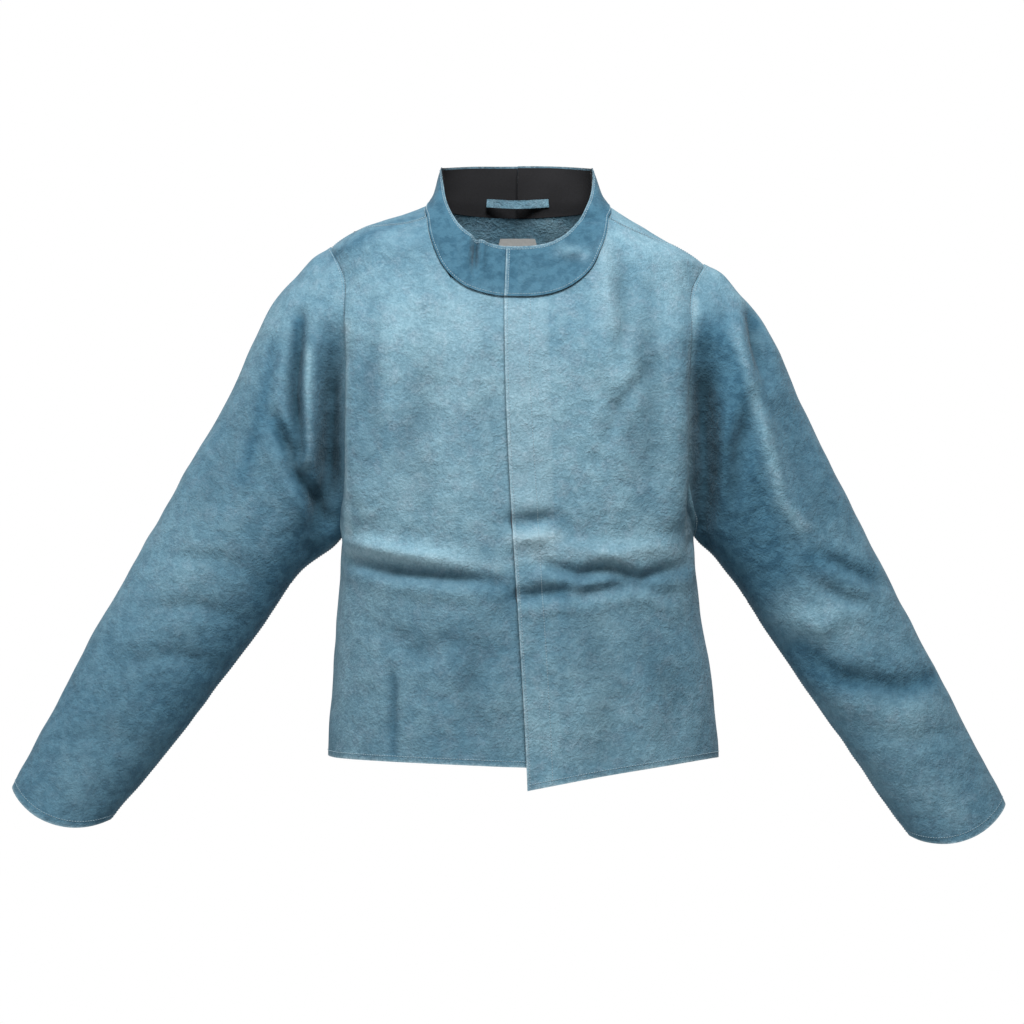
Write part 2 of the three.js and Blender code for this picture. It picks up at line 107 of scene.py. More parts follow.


# Leather. Split cowhide, dyed blue-grey and left with a short nap: cloudy dye, pale where an edge has rubbed.
# Painted shade darkens it in folds, along seams and in shaded places; painted highlight lightens fold ridges.
class Sock:
    """A shader socket in an expression: + - * / add Math nodes."""

    def __init__(self, tree, socket):
        self.tree, self.socket = tree, socket

    def node(self, kind, settings=None, sockets=None, out=0):
        made = self.tree.nodes.new("ShaderNode" + kind)
        for key, value in (settings or {}).items():
            setattr(made, key, value)
        for key, value in (sockets or {}).items():
            if isinstance(value, Sock):
                self.tree.links.new(value.socket, made.inputs[key])
            else:
                made.inputs[key].default_value = value
        return Sock(self.tree, made.outputs[out])

    def maths(self, operation, first, second):
        return self.node("Math", {"operation": operation}, {0: first, 1: second})

    def __add__(self, other):
        return self.maths("ADD", self, other)

    def __sub__(self, other):
        return self.maths("SUBTRACT", self, other)

    def __rsub__(self, other):
        return self.maths("SUBTRACT", other, self)

    def __mul__(self, other):
        return self.maths("MULTIPLY", self, other)

    __radd__, __rmul__ = __add__, __mul__


def new_material(name):
    material = bpy.data.materials.new(name)
    material.use_nodes = True
    tree = material.node_tree
    shader = tree.nodes["Principled BSDF"]
    place = Sock(tree, tree.nodes.new("ShaderNodeTexCoord").outputs["Object"])
    return material, tree, shader, place


def cloud(place, scale, detail=3.0, roughness=0.55, stretch=(1, 1, 1), turn=(0, 0, 0)):
    turned = place.node("Mapping", None, {"Vector": place, "Rotation": turn})
    stretched = place.node("Mapping", None, {"Vector": turned, "Scale": stretch})
    sockets = {"Vector": stretched, "Scale": scale, "Detail": detail, "Roughness": roughness}
    return place.node("TexNoise", None, sockets)


def blend_colour(factor, low, high):
    return factor.node("Mix", {"data_type": "RGBA"}, {0: factor, 6: low, 7: high}, out=2)


def tint(factor, low, high):
    return blend_colour(factor, (*low, 1), (*high, 1))


def feed(tree, value, shader, socket):
    tree.links.new(value.socket, shader.inputs[socket])


def contrast(value, low, high):
    """Stretches a noise's middle range to 0 to 1."""
    sockets = {"Value": value, "From Min": low, "From Max": high}
    return value.node("MapRange", {"interpolation_type": "SMOOTHSTEP"}, sockets)


def named(tree, name):
    made = tree.nodes.new("ShaderNodeAttribute")
    made.attribute_name = name
    return Sock(tree, made.outputs["Fac"])


def make_leather():
    material, tree, shader, place = new_material("split_leather")
    dye = contrast(cloud(place, 7.0, 3.0, 0.55), 0.36, 0.64)
    mottle = contrast(cloud(place, 34.0, 5.0, 0.62), 0.38, 0.64)
    blotch = contrast(cloud(place, 92.0, 4.0, 0.62), 0.40, 0.62)
    grey = contrast(cloud(place, 60.0, 3.0, 0.6), 0.46, 0.66)
    speck = contrast(cloud(place, 330.0, 3.0, 0.65), 0.34, 0.68)
    scuff = contrast(cloud(place, 75.0, 5.0, 0.72, (0.6, 1, 0.3), (0, 0.62, 0)), 0.48, 0.80)
    body = tint(dye, (0.155, 0.305, 0.400), (0.225, 0.395, 0.485))
    mottled = blend_colour(mottle * 0.66, body, tint(dye, (0.215, 0.370, 0.455), (0.300, 0.480, 0.565)))
    greyed = blend_colour(grey * 0.34, mottled, tint(speck, (0.18, 0.24, 0.31), (0.29, 0.36, 0.43)))
    blotched = blend_colour(blotch * 0.30, greyed, tint(dye, (0.070, 0.170, 0.240), (0.110, 0.240, 0.315)))
    fine = blend_colour((1 - speck) * 0.40, blotched, tint(mottle, (0.060, 0.145, 0.195), (0.11, 0.23, 0.29)))
    napped = blend_colour(scuff * 0.30, fine, tint(speck, (0.30, 0.46, 0.53), (0.42, 0.58, 0.65)))
    # Painted highlight on fold ridges, and darker region tones together with painted shade, from the
    # attribute read here.
    highlight_colour = tint(speck, (0.34, 0.50, 0.57), (0.44, 0.60, 0.67))
    highlighted = blend_colour(named(tree, "tone_and_painted_shade") * -0.8, napped, highlight_colour)
    deep = tint(blotch, (0.060, 0.162, 0.238), (0.036, 0.111, 0.174))
    toned_and_shaded = blend_colour(named(tree, "tone_and_painted_shade"), highlighted, deep)
    edge = tint(mottle, (0.34, 0.48, 0.54), (0.50, 0.64, 0.70))
    rubbed = blend_colour(named(tree, "worn") * (0.25 + speck * 0.45), toned_and_shaded, edge)
    # Painted shade: a near-black blue mixed in over folds, along seams and over the whole collar.
    shade_colour = tint(mottle, (0.014, 0.044, 0.064), (0.035, 0.085, 0.12))
    shaded = blend_colour(named(tree, "dent") * 0.84, rubbed, shade_colour)
    feed(tree, shaded, shader, "Base Color")
    feed(tree, 0.98 - speck * 0.14, shader, "Roughness")
    fibre = cloud(place, 900.0, 2.0, 0.7, (1, 1, 0.35))
    nap = fibre * 0.5 + speck * 0.4 + mottle * 1.2
    bump = place.node("Bump", None, {"Strength": 0.7, "Distance": 0.0013, "Height": nap})
    feed(tree, bump, shader, "Normal")
    shader.inputs["Sheen Weight"].default_value = 0.12
    shader.inputs["Sheen Roughness"].default_value = 0.5
    shader.inputs["Sheen Tint"].default_value = (0.75, 0.87, 0.93, 1)
    shader.inputs["Specular IOR Level"].default_value = 0.2
    return material


leather = make_leather()

# The body's shape, as the wearer fills it: level rings from the neck to the hem, rounded like a flattened
# barrel, squarer over the chest. Sizes in millimetres; the mesh is made in metres.
MM = 0.001
BODY_LENGTH = 672
NECK_HALF_WIDTH, SHOULDER_HALF_WIDTH = 108, 227
CHEST_HALF_WIDTH, HEM_HALF_WIDTH = 212, 235
NECK_FRONT, NECK_BACK = 62, 66
CHEST_FRONT, CHEST_BACK = 121, 118
HEM_FRONT, HEM_BACK = 114, 112
SHOULDER_DROP = 62
ARMHOLE_HEIGHT = 340
ARMHOLE_HALF_DEPTH = 74
NECK_FRONT_DROP = 115
NECK_BACK_DROP = 12
UNDERARM = SHOULDER_DROP + ARMHOLE_HEIGHT
CHEST = UNDERARM / 2
SEAM_AT_NECK = 0.9
QUARTER = np.pi / 2
LEATHER = 1.3


def profile(places, values):
    """A curve through the values at the places that never overshoots them."""
    places, values = np.array(places, float), np.array(values, float)
    slope = np.diff(values) / np.diff(places)
    before, after = np.r_[slope[0], slope], np.r_[slope, slope[-1]]
    even_sign = before * after > 0
    slopes = np.where(even_sign, 2 * before * after / np.where(even_sign, before + after, 1), 0)

    def at(place):
        i = np.clip(np.searchsorted(places, place) - 1, 0, len(places) - 2)
        length = places[i + 1] - places[i]
        t = np.clip((place - places[i]) / length, 0, 1)
        rise = values[i] * (1 + 2 * t) * (1 - t) ** 2 + values[i + 1] * t * t * (3 - 2 * t)
        return rise + length * (slopes[i] * t * (1 - t) ** 2 - slopes[i + 1] * t * t * (1 - t))

    return at


def smooth(t):
    t = np.clip(t, 0, 1)
    return t * t * (3 - 2 * t)


def mix(a, b, t):
    return a + (b - a) * t


LEVELS = [0, SHOULDER_DROP / 2, SHOULDER_DROP, CHEST, UNDERARM, BODY_LENGTH, BODY_LENGTH * 1.2]
half_width = profile(LEVELS, [NECK_HALF_WIDTH, 170.5, SHOULDER_HALF_WIDTH, 219.5, CHEST_HALF_WIDTH]
                     + [HEM_HALF_WIDTH] * 2)
front_depth = profile(LEVELS, [NECK_FRONT, 78, 91.5, CHEST_FRONT, CHEST_FRONT, HEM_FRONT, HEM_FRONT])
back_depth = profile(LEVELS, [NECK_BACK, 80, 92, CHEST_BACK, CHEST_BACK, HEM_BACK, HEM_BACK])
squareness = profile(LEVELS, [2.1, 2.3, 2.5, 3.1, 3.0, 2.5, 2.5])


def rounded(angle, power):
    c, s = np.cos(angle), np.sin(angle)
    k = (np.abs(c) ** power + np.abs(s) ** power) ** (-1 / power)
    return k * c, k * s


def torso(angle, z):
    across, along = rounded(angle, squareness(-z))
    depth = np.where(along < 0, front_depth(-z), back_depth(-z))
    return np.stack([across * half_width(-z), along * depth, z + 0 * angle], -1)


def front_angle_at(x, z):
    share = np.clip(np.abs(x) / half_width(-z), 0, 1)
    power = squareness(-z)
    angle = np.arctan2((1 - share ** power) ** (1 / power), share)
    return np.where(x < 0, angle - np.pi, -angle)


def angle_at_depth(y, z):
    share = np.clip(np.abs(y) / np.where(y < 0, front_depth(-z), back_depth(-z)), 0, 1)
    power = squareness(-z)
    return np.sign(y) * np.arctan2(share, (1 - share ** power) ** (1 / power))


def neckline(place):
    """0 at the middle of the front, 1 on the shoulder, 2 at the middle of the back, 4 all the way round."""
    place = np.asarray(place, float)
    down, across = rounded(np.clip(place, -1, SEAM_AT_NECK) * QUARTER, 2.5)
    z = -NECK_FRONT_DROP * down
    turned = np.clip((place - SEAM_AT_NECK) / (1 - SEAM_AT_NECK), 0, 1)
    angle = front_angle_at(NECK_HALF_WIDTH * across, z) * (1 - turned)
    back = (place - 1) * QUARTER
    z = z * (1 - turned) ** 2
    return np.where(place > 1, back, angle), np.where(place > 1, -NECK_BACK_DROP * np.sin(back) ** 2, z)


def armhole(angle):
    up, along = rounded(angle, 2.5)
    z = -SHOULDER_DROP - ARMHOLE_HEIGHT / 2 + up * ARMHOLE_HEIGHT / 2
    return angle_at_depth(along * ARMHOLE_HALF_DEPTH, z), z


SEAM_TOP = 0.4
neck_seam = [float(value) for value in neckline(SEAM_AT_NECK)]


def side_border(v, hem, over):
    """Up the side seam and round the armhole to the shoulder's tip, in angle and height."""
    ring_angle, ring_z = armhole(over * np.pi * (1 - np.clip((v - SEAM_TOP) / (1 - SEAM_TOP), 0, 1)))
    rising = mix(hem, -UNDERARM, np.clip(v / SEAM_TOP, 0, 1))
    return np.where(v < SEAM_TOP, 0, ring_angle), np.where(v < SEAM_TOP, rising, ring_z)


def shoulder_seam(share):
    """From the neckline to the shoulder's tip."""
    return neck_seam[0] * smooth(1 - share), mix(neck_seam[1], -SHOULDER_DROP, share)


def patch(u, v, left, right, bottom, top):
    """Angle and height over a panel between its four borders; the top one counts only near the top."""
    found = []
    for i in range(2):
        low = bottom(u)[i] - mix(bottom(0 * u)[i], bottom(0 * u + 1)[i], u)
        high = top(u)[i] - mix(top(0 * u)[i], top(0 * u + 1)[i], u)
        found.append(mix(left(v)[i], right(v)[i], u) + low * (1 - v) + high * v ** 4)
    return found


# Folds of the worn leather: each is a line on the front or back, with a depth and a width, pressed in with a
# lip on either side. Slack between them is a slow unevenness of the hide.
FRONT_FOLDS = [
    ([(-215, -428), (-150, -446), (-90, -453), (-24, -459)], 8.5, 8),
    ([(-208, -410), (-140, -422), (-70, -432)], -5.0, 9),
    ([(26, -436), (70, -450), (110, -444), (150, -454), (203, -438)], 8.0, 8),
    ([(30, -466), (80, -472), (130, -462), (180, -472)], 6.0, 8),
    ([(40, -416), (110, -424), (190, -414)], -4.0, 10),
    ([(-12, -386), (20, -385), (48, -380)], 4.0, 8),
    ([(-6, -474), (20, -474), (52, -470)], 5.0, 8),
    ([(-10, -408), (40, -404)], -4.0, 9),
    ([(-150, -560), (-149, -660)], 4.0, 6),
    ([(122, -70), (130, -150), (118, -190)], 4.5, 10),
    ([(100, -60), (108, -110), (112, -160)], -4.5, 9),
    ([(153, -116), (160, -240), (162, -360)], 6.0, 16),
    ([(92, -210), (130, -270), (150, -330)], 3.5, 10),
    ([(96, -310), (120, -250), (165, -195)], 3.0, 9),
    ([(-96, -150), (-126, -300), (-112, -390)], 4.0, 20),
    ([(-170, -130), (-176, -240), (-170, -330)], 3.5, 12),
    ([(-40, -520), (-60, -600), (-40, -660)], 3.5, 18),
    ([(-180, -500), (-120, -540), (-60, -530)], 3.0, 14),
    ([(90, -520), (112, -600), (100, -690)], 4.0, 20),
    ([(150, -540), (190, -600), (180, -650)], 3.5, 16),
    ([(-50, -40), (-51, -64), (-52, -88)], 9.0, 3.6),
    ([(-62, -40), (-66, -62), (-66, -86)], -3.0, 6),
    ([(51, -60), (64, -64), (79, -66)], -3.5, 6),
    ([(76, -24), (90, -22), (102, -20)], 4.0, 6),
    ([(-70, -18), (-84, 4), (-90, 20)], 3.0, 6),
    ([(-262, -140), (-268, -230), (-261, -301), (-254, -322)], 15.0, 8),
    ([(-246, -300), (-262, -322), (-278, -306)], -5.0, 7),
    ([(-290, -262), (-264, -330), (-232, -385)], 12.0, 9),
    ([(-232, -290), (-234, -345), (-250, -415)], 12.0, 13),
    ([(-222, -165), (-226, -290), (-222, -378)], 20.0, 14),
    ([(222, -185), (226, -330), (218, -412)], 27.0, 16),
    ([(283, -122), (290, -170), (300, -215)], 11.0, 9),
    ([(262, -160), (283, -238), (301, -299), (317, -360), (340, -392)], -8.0, 13),
    ([(284, -240), (264, -300), (256, -380)], 10.0, 11),
    ([(330, -260), (350, -330), (384, -400)], 4.0, 16),
    ([(362, -425), (400, -442), (446, -466)], 4.5, 8),
    ([(345, -452), (395, -480), (436, -488)], 3.5, 8),
    ([(339, -539), (390, -574), (460, -588), (515, -572)], 5.5, 13),
    ([(334, -500), (366, -512), (396, -502)], -5.0, 14),
    ([(420, -640), (480, -650), (540, -636)], 2.0, 12),
    ([(-310, -455), (-360, -430), (-420, -428)], 2.4, 10),
    ([(-330, -505), (-390, -486), (-450, -492)], 2.8, 10),
    ([(-352, -566), (-410, -548), (-486, -556)], 2.2, 11),
    ([(-440, -660), (-500, -640), (-560, -652)], 2.0, 13),
    ([(-330, -240), (-356, -310), (-400, -400)], 4.0, 18),
]
BACK_FOLDS = [
    ([(-190, -430), (-60, -452), (80, -446), (195, -430)], 5.0, 10),
    ([(-150, -360), (-20, -372), (120, -360)], 3.0, 12),
    ([(-205, -150), (-190, -300), (-200, -400)], 5.0, 12),
    ([(205, -150), (190, -300), (200, -400)], 5.0, 12),
    ([(-60, -520), (-40, -660)], 3.0, 18),
    ([(90, -500), (70, -660)], 3.0, 18),
    ([(-360, -440), (-430, -430)], 4.0, 9),
    ([(360, -440), (430, -430)], 4.0, 9),
    ([(-250, -380), (-300, -300)], 6.0, 10),
    ([(250, -380), (300, -300)], 6.0, 10),
]


# Painted shade and painted highlight: shade in creases and where the sleeves meet the body, highlight on the
# ridges of folds, and a few broad darker or lighter patches. Each is a line seen from the front, how far it
# reaches to either side, and how much darker (or, below 0, lighter) it is.
PAINTED_SHADE_AND_HIGHLIGHT = [
    ([(222, -170), (228, -300), (232, -412)], 24, 0.60),
    ([(250, -210), (270, -330), (305, -430)], 30, 0.30),
    ([(261, -160), (283, -238), (301, -299), (317, -360), (342, -392)], 5, -0.60),
    ([(300, -190), (345, -290), (380, -370)], 16, 0.16),
    ([(360, -432), (424, -448)], 13, 0.28),
    ([(336, -496), (392, -520)], 18, -0.42),
    ([(342, -546), (400, -580), (470, -588), (512, -572)], 11, 0.36),
    ([(396, -616), (470, -626)], 18, -0.36),
    ([(440, -690), (530, -740)], 20, -0.20),
    ([(281, -132), (292, -142)], 6, 0.70),
    ([(240, -84), (270, -122)], 12, -0.24),
    ([(214, -120), (207, -200), (206, -402)], 4, -0.55),
    ([(-204, -150), (-202, -400)], 4, -0.50),
    ([(153, -116), (158, -250), (155, -360)], 13, 0.24),
    ([(108, -60), (108, -150)], 9, -0.26),
    ([(-60, -120), (-110, -300)], 40, -0.10),
    ([(-176, -120), (-182, -300)], 12, 0.20),
    ([(-149, -573), (-149, -672)], 4, 0.36),
    ([(-204, -442), (-110, -454), (-20, -464)], 9, 0.28),
    ([(-204, -424), (-110, -433), (-20, -442)], 6, -0.34),
    ([(22, -447), (110, -457), (201, -448)], 10, 0.28),
    ([(22, -424), (110, -430), (201, -424)], 8, -0.24),
    ([(-12, -386), (50, -384)], 6, 0.34),
    ([(-10, -408), (48, -405)], 5, -0.40),
    ([(-6, -474), (52, -472)], 6, 0.34),
    ([(60, -640), (200, -600)], 30, -0.14),
    ([(-130, -520), (-60, -560)], 30, 0.12),
    ([(-222, -175), (-222, -380)], 15, 0.50),
    ([(-263, -145), (-267, -230), (-259, -305)], 6, 0.60),
    ([(-251, -180), (-250, -300), (-256, -324), (-270, -318), (-275, -296)], 4, -0.50),
    ([(-289, -270), (-262, -330), (-232, -388)], 7, 0.60),
    ([(-236, -384), (-262, -430), (-296, -476)], 14, 0.40),
    ([(-292, -176), (-318, -290), (-332, -336)], 8, 0.36),
    ([(-340, -370), (-420, -520)], 28, -0.14),
    ([(-470, -640), (-540, -700)], 24, -0.16),
    ([(-118, -14), (-170, -34), (-222, -66)], 5, 0.34),
    ([(-50, -40), (-52, -90)], 4, 0.60),
    ([(52, -60), (80, -66)], 6, -0.60),
    ([(78, -24), (102, -20)], 6, 0.50),
]


def near_line(points, line):
    """Distance of each point from a line seen from the front, and how far along it that is, from 0 to 1."""
    line, flat = np.array(line, float), points[..., [0, 2]]
    lengths = np.r_[0, np.cumsum(np.linalg.norm(np.diff(line, axis=0), axis=1))]
    nearest, along = np.full(flat.shape[:-1], 1e9), np.zeros(flat.shape[:-1])
    for i, (start, end) in enumerate(zip(line[:-1], line[1:])):
        step = end - start
        t = np.clip(((flat - start) @ step) / (step @ step), 0, 1)
        away = np.linalg.norm(flat - start - t[..., None] * step, axis=-1)
        closer = away < nearest
        nearest = np.where(closer, away, nearest)
        along = np.where(closer, (lengths[i] + t * np.linalg.norm(step)) / lengths[-1], along)
    return nearest, along


def fold_relief(points, folds, facing):
    """How far each point is pushed out of the surface (mm) by the folds, and how much painted shade it gets
    in a fold.
    """
    height, dent = np.zeros(points.shape[:-1]), np.zeros(points.shape[:-1])
    for line, depth, width in folds:
        nearest, along = near_line(points, line)
        taper = np.sin(np.pi * np.clip(along, 0.04, 0.96)) ** 0.6
        lip = 0.35 * np.exp(-(((nearest - 2.2 * width) / (1.3 * width)) ** 2))
        groove = np.exp(-((nearest / width) ** 2)) - lip
        height -= depth * groove * taper * facing
        # Painted shade in the groove of each fold, darker for a deeper fold.
        dent += max(0, depth) / 14 * np.exp(-((nearest / width) ** 2)) * taper * facing
    return height, dent


def shading(points, facing):
    """How much painted shade (or, below 0, painted highlight) each point gets from the listed lines."""
    total = np.zeros(points.shape[:-1])
    for line, reach, amount in PAINTED_SHADE_AND_HIGHLIGHT:
        nearest, _ = near_line(points, line)
        total += 1.25 * amount * np.exp(-((nearest / (1.5 * reach)) ** 2)) * facing
    return total


def slack(points, scale, seed):
    """Slow unevenness from -1 to 1."""
    flat = points.reshape(-1, 3) * scale
    return np.array([noise.noise(Vector((x + seed, y, z))) for x, y, z in flat]).reshape(points.shape[:-1])


def normals_of(grid):
    across, along = np.gradient(grid, axis=0), np.gradient(grid, axis=1)
    out = np.cross(across, along)
    return out / np.maximum(np.linalg.norm(out, axis=-1, keepdims=True), 1e-9)


def worn_shape(points):
    """The surface with its folds and slack pressed in, its normals, the painted shade of its folds, and the
    painted shade and highlight along the listed lines.
    """
    out = normals_of(points)
    facing = smooth((-out[..., 1] - 0.05) / 0.5)
    behind = smooth((out[..., 1] - 0.05) / 0.5)
    front, dent = fold_relief(points, FRONT_FOLDS, facing)
    back, back_painted_shade = fold_relief(points, BACK_FOLDS, behind)
    uneven = 2.6 * slack(points, 0.011, 3.0) + 1.1 * slack(points, 0.032, 11.0)
    shaped = points + out * (front + back + uneven)[..., None]
    return shaped, normals_of(shaped), dent + back_painted_shade, shading(points, facing)


# Fronts. Two hides cut from neck to hem; the left one laps 45 mm over the right, so the right one and its
# half of the collar sink inwards under it. Each is sewn along its edges with one row of thread, the left one
# with a second row inside the lap.
SIDES = {"left": 1, "right": -1}


def settle(points):
    """The way the jacket hangs: its right shoulder high, its left one low, the hem shifted to its left."""
    x, z = points[..., 0], points[..., 2]
    across = np.abs(x)
    shoulder = smooth((across - 90) / 110) * np.maximum(smooth((z + 400) / 220), smooth((across - 225) / 60))
    low = smooth((-z - 420) / 250) * smooth(across / 200) * (1 - smooth((across - 250) / 60))
    moved = points.copy()
    moved[..., 0] += 7 * low - 11 * smooth((across - 300) / 250)
    moved[..., 2] -= 10 * np.sign(x) * shoulder
    tip = smooth((across - 180) / 45) * (1 - smooth((across - 228) / 26)) * smooth((z + 120) / 50)
    moved[..., 2] -= 8 * tip
    return moved


def run_along(points):
    """Distance from the first row of a grid along its first direction."""
    steps = np.linalg.norm(np.diff(points, axis=0), axis=-1)
    return np.concatenate([np.zeros((1, points.shape[1])), np.cumsum(steps, axis=0)])


def closed_sheet(name, points, out, thickness, material, attributes):
    """One closed mesh: the outer face, the same grid one thickness inside it, and the cut edges between."""
    rows, columns = points.shape[:2]
    count = rows * columns
    index = np.arange(count).reshape(rows, columns)
    quads = np.stack([index[:-1, :-1], index[1:, :-1], index[1:, 1:], index[:-1, 1:]], -1).reshape(-1, 4)
    around = np.r_[index[0, :-1], index[:-1, -1], index[-1, :0:-1], index[:0:-1, 0]]
    following = np.roll(around, -1)
    rim = np.stack([around, following, following + count, around + count], -1)
    faces = np.concatenate([quads, quads[:, ::-1] + count, rim])
    vertices = np.concatenate([points.reshape(-1, 3), (points - out * thickness).reshape(-1, 3)]) * MM
    piece = mesh_piece(name, vertices, faces, material)
    for key, values in attributes.items():
        both = np.tile(values.ravel(), 2).astype(np.float32)
        piece.data.attributes.new(key, "FLOAT", "POINT").data.foreach_set("value", both)
    side_normals = np.concatenate([out.reshape(-1, 3), -out.reshape(-1, 3)])
    piece.data.normals_split_custom_set_from_vertices(side_normals)
    return piece


def mesh_piece(name, vertices, faces, material):
    mesh = bpy.data.meshes.new(name)
    mesh.vertices.add(len(vertices))
    mesh.vertices.foreach_set("co", vertices.ravel())
    mesh.loops.add(faces.size)
    mesh.loops.foreach_set("vertex_index", faces.ravel().astype(np.int32))
    mesh.polygons.add(len(faces))
    mesh.polygons.foreach_set("loop_start", np.arange(0, faces.size, faces.shape[1], dtype=np.int32))
    mesh.polygons.foreach_set("use_smooth", np.ones(len(faces), bool))
    mesh.update(calc_edges=True)
    mesh.materials.append(material)
    piece = bpy.data.objects.new(name, mesh)
    bpy.context.scene.collection.objects.link(piece)
    return piece


def move_front(piece, side):
    side + "_front"
    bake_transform(piece)


STITCH_PITCH, STITCH_LENGTH, THREAD = 3.3, 2.3, 0.42


def stitches(name, lines, move, side):
    """Rows of stitches: each is a short rounded bar of thread that dips into the leather at its ends."""
    around = np.arange(6) * np.pi / 3
    rings = []
    for along, size, lift in [(-0.5, 0.35, -0.3), (-0.28, 1, 0.25), (0.28, 1, 0.25), (0.5, 0.35, -0.3)]:
        length, height = 0 * around + along * STITCH_LENGTH, size * np.sin(around) + lift / THREAD
        rings.append(np.stack([length, size * np.cos(around), height], -1) * [1, THREAD, THREAD])
    bar = np.concatenate(rings)
    i = np.arange(6)
    n = (i + 1) % 6
    bar_faces = [np.stack([r * 6 + i, r * 6 + n, r * 6 + 6 + n, r * 6 + 6 + i], -1) for r in range(3)]
    bar_faces += [np.array([[0, 5, 4, 1], [1, 4, 3, 2], [18, 19, 22, 23], [19, 20, 21, 22]])]
    bar_faces = np.concatenate(bar_faces)[:, ::-1]
    vertices, faces, count = [], [], 0
    for points, out in lines:
        lengths = np.r_[0, np.cumsum(np.linalg.norm(np.diff(points, axis=0), axis=1))]
        places = np.arange(STITCH_PITCH, lengths[-1] - STITCH_PITCH, STITCH_PITCH)

        def at(values, where):
            return np.stack([np.interp(where, lengths, values[:, k]) for k in range(3)], -1)

        centre, up = at(points, places), at(out, places)
        ahead = at(points, places + 1) - at(points, places - 1)
        up /= np.linalg.norm(up, axis=1, keepdims=True)
        ahead -= up * (ahead * up).sum(1, keepdims=True)
        ahead /= np.linalg.norm(ahead, axis=1, keepdims=True)
        beside = np.cross(up, ahead)
        frame_of = np.stack([ahead, beside, up], 1)
        made = centre[:, None] + np.einsum("vk,skj->svj", bar, frame_of)
        offsets = (np.arange(len(places)) * len(bar))[:, None, None] + count
        faces.append((bar_faces[None] + offsets).reshape(-1, 4))
        vertices.append(made.reshape(-1, 3))
        count += len(places) * len(bar)
    piece = mesh_piece(name, np.concatenate(vertices) * MM, np.concatenate(faces), thread)
    move(piece, side)
    return piece


def line_in(points, out, distance):
    """The line a distance in from the first row of a grid, with its normals."""
    run = run_along(points)
    both = np.concatenate([points, out], -1)
    columns = range(points.shape[1])
    line = np.array([[np.interp(distance, run[:, j], both[:, j, k]) for k in range(6)] for j in columns])
    return line[:, :3], line[:, 3:]


def seam_lines(points, out, rows):
    """Stitch lines from (edge, distance) pairs: first and last are the ends of u, low and high those of v."""
    turned = {
        "first": (points, out),
        "last": (points[::-1], out[::-1]),
        "low": (points.swapaxes(0, 1), out.swapaxes(0, 1)),
        "high": (points.swapaxes(0, 1)[::-1], out.swapaxes(0, 1)[::-1]),
    }
    return [line_in(*turned[edge], distance) for edge, distance in rows]


def panel(name, points, out, look, nodes, move, side, seams=(), inset=0, thickness=LEATHER,
          slot="leather"):
    """A sheet on a grid whose u, v and outward directions are right-handed on the left side."""
    if side == "right":
        points, out, look = points[::-1], out[::-1], {key: values[::-1] for key, values in look.items()}
        turned = {"first": "last", "last": "first"}
        seams = [(turned.get(edge, edge), distance) for edge, distance in seams]
    placed = points - out * inset
    piece = closed_sheet(name, placed, out, thickness, MATERIALS[slot], look)
    flat_u, flat_v = run_along(points)[-1].max() * MM, run_along(points.swapaxes(0, 1))[-1].max() * MM
    move(piece, side)
    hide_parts(*nodes)
    if seams:
        stitches(name + "_stitches", seam_lines(placed, out, seams), move, side)
    return piece


def edge_wear(points, edges, reach=2.2):
    """1 on the cut edges of a grid, gone a few millimetres in."""
    worn = np.zeros(points.shape[:2])
    grids = {"first": (points, 0, 0), "last": (points[::-1], 0, 1), "low": (points.swapaxes(0, 1), 1, 0)}
    grids["high"] = (points.swapaxes(0, 1)[::-1], 1, 1)
    for edge in edges:
        grid, turned, reversed_rows = grids[edge]
        near = np.exp(-((run_along(grid) / reach) ** 2))
        near = near[::-1] if reversed_rows else near
        worn = np.maximum(worn, near.T if turned else near)
    return worn


# How much darker the colour is than on the chest, by region; the _PALER ones give how much lighter.
SKIRT_TONE, RIGHT_YOKE_TONE, LEFT_YOKE_TONE, PLACKET_PALER = 0.34, 0.40, 0.04, 0.24
RIGHT_SLEEVE_TONE, LEFT_SLEEVE_TONE, RIGHT_CUFF_TONE, SLEEVE_HEAD_PALER = 0.50, 0.58, 0.24, 0.22
EDGE_SHADE = 0.8


def dressed(points, side, edges, dark=0):
    """A bare left-hand surface, put on its side, with its folds: points, normals and look."""
    placed = settle(points * np.array([SIDES[side], 1, 1]))
    order = slice(None) if side == "left" else slice(None, None, -1)
    shaped, out, dent, shade = [grid[order] for grid in worn_shape(placed[order])]
    x, z = shaped[..., 0], shaped[..., 2]
    on_sleeve = smooth((np.abs(x) - 200) / 50)
    body = SKIRT_TONE * smooth((-z - 425) / 30) + 0.07 * slack(shaped, 0.01, 5.0)
    body += np.where(x < 0, RIGHT_YOKE_TONE, LEFT_YOKE_TONE) * smooth((z + 130) / 80)
    strip = smooth((x + 16) / 4) * smooth((34 - x + 0.03 * -z) / 4) * smooth((-z - 118) / 10)
    body -= PLACKET_PALER * strip if side == "left" else 0
    right_sleeve = RIGHT_SLEEVE_TONE + RIGHT_CUFF_TONE * smooth((-z - 430) / 120)
    sleeve = np.where(x < 0, right_sleeve, LEFT_SLEEVE_TONE) - SLEEVE_HEAD_PALER * smooth((z + 240) / 150)
    tone_and_painted_shade = mix(body, sleeve, on_sleeve)
    # One attribute: the region tones, the darkening passed in, and the painted shade and highlight of the
    # listed lines.
    look = {"dent": np.clip(dent, 0, 1), "worn": edge_wear(shaped, edges), "tone_and_painted_shade": tone_and_painted_shade + dark + shade}
    return shaped, out, look


